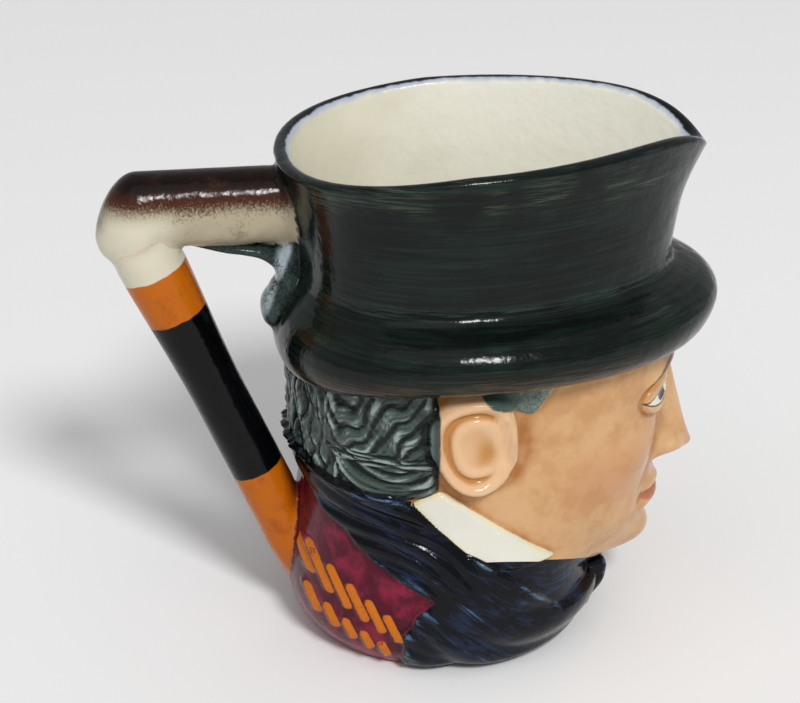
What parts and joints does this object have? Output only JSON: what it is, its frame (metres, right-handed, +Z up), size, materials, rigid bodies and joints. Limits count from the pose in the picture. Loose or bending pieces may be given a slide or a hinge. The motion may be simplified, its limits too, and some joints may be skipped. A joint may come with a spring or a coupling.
{
  "type": "toby jug",
  "caption": "Small glazed character jug: a capped head and shoulders in a tall hat with a pouring lip, and a riding whip for its handle.",
  "frame": {"origin": "centre of the foot's flat underside", "axes": "-Z out of the underside, +Z up; the figure faces -Y with its pouring lip at -Y and its handle at +Y; +X is the figure's left"},
  "size_m": [0.0678, 0.1052, 0.091],
  "materials": {
    "glazed_earthenware": "hand-painted under a clear gloss glaze"
  },
  "bodies": {
    "root": {"jug": "glazed_earthenware"}
  },
  "joints": []
}
